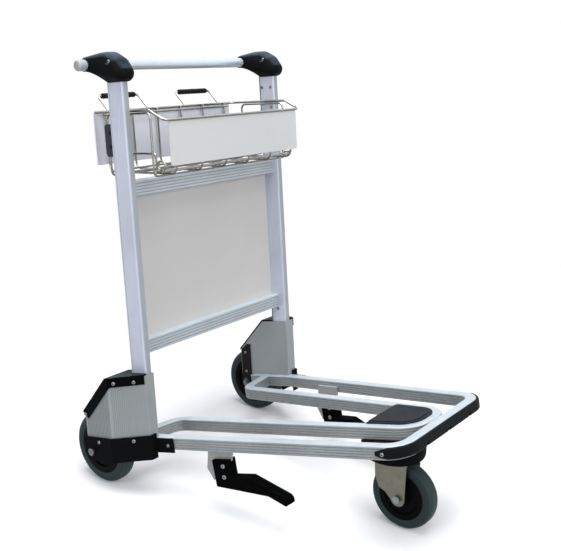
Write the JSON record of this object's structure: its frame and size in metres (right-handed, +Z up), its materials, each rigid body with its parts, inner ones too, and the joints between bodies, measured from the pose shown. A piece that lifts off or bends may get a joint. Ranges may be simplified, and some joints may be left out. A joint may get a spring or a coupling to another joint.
{
  "type": "airport luggage trolley",
  "caption": "Three-wheeled luggage trolley: leaning aluminium posts with push bar, wire basket, plain sign panel, sloping two-loop deck, rear wheels in housings, swivel caster.",
  "frame": {"origin": "on the ground under the middle of the overall box", "axes": "+X forward (caster end), +Y to the left of a person pushing, +Z up"},
  "size_m": [0.9093, 0.696, 1.0521],
  "materials": {
    "aluminium_profile": "satin",
    "sign_board": "satin",
    "basket_board": "satin",
    "black_steel": "satin",
    "bright_wire": "polished",
    "grey_rubber": "matte",
    "black_rubber": "matte",
    "grey_plastic": "satin",
    "grey_shell": "satin",
    "black_plastic": "textured",
    "zinc_steel": "satin"
  },
  "bodies": {
    "frame": {"left_post": "aluminium_profile", "right_post": "aluminium_profile", "top_rail": "aluminium_profile", "bottom_rail": "aluminium_profile", "sign_panel": "sign_board", "handle_bar": "aluminium_profile", "handle_end_caps": "grey_plastic", "left_knuckle": "black_plastic", "right_knuckle": "black_plastic", "knuckle_screws": "zinc_steel", "post_screws": "zinc_steel", "basket_rim": "bright_wire", "basket_cradle": "bright_wire", "basket_ribs": "bright_wire", "basket_cross_wires": "bright_wire", "basket_fences": "bright_wire", "hand_loops": "bright_wire", "hand_grips": "black_rubber", "basket_front_panel": "basket_board", "basket_back_panel": "basket_board", "basket_brackets": "black_steel", "bracket_screws": "zinc_steel", "left_housing": "grey_shell", "right_housing": "grey_shell", "left_hood": "black_plastic", "right_hood": "black_plastic", "left_axle_bracket": "black_plastic", "right_axle_bracket": "black_plastic", "left_strap": "black_steel", "right_strap": "black_steel", "housing_screws": "zinc_steel", "left_axle": "zinc_steel", "right_axle": "zinc_steel", "axle_nuts": "zinc_steel", "axle_spacers": "zinc_steel", "outer_rail": "aluminium_profile", "inner_rail": "aluminium_profile", "front_bumper": "black_plastic", "bumper_screws": "zinc_steel", "nose_plate": "black_plastic", "caster_cup": "black_plastic", "kingpin": "zinc_steel", "thrust_ring": "zinc_steel", "guide_plates": "aluminium_profile", "guide_skids": "black_plastic", "guide_screws": "zinc_steel"},
    "left_wheel": {"left_hub": "black_plastic", "left_tyre": "grey_rubber", "left_bearings": "zinc_steel"},
    "right_wheel": {"right_hub": "black_plastic", "right_tyre": "grey_rubber", "right_bearings": "zinc_steel"},
    "caster_fork_body": {"caster_fork": "zinc_steel", "caster_axle": "zinc_steel", "caster_nut": "zinc_steel", "caster_spacers": "zinc_steel"},
    "caster_wheel": {"caster_hub": "black_plastic", "caster_tyre": "grey_rubber", "caster_bearings": "zinc_steel"}
  },
  "joints": [
    {"name": "left_wheel_spin", "type": "hinge", "parent": "frame", "child": "left_wheel", "pos_m": [-0.33007, 0.297, 0.09], "axis": [0, 1, 0], "continuous": true},
    {"name": "right_wheel_spin", "type": "hinge", "parent": "frame", "child": "right_wheel", "pos_m": [-0.33007, -0.297, 0.09], "axis": [0, 1, 0], "continuous": true},
    {"name": "caster_swivel", "type": "hinge", "parent": "frame", "child": "caster_fork_body", "pos_m": [0.31793, 0, 0.166], "axis": [0, 0, 1], "continuous": true},
    {"name": "caster_wheel_spin", "type": "hinge", "parent": "caster_fork_body", "child": "caster_wheel", "pos_m": [0.35493, 0, 0.08], "axis": [0, 1, 0], "continuous": true}
  ]
}
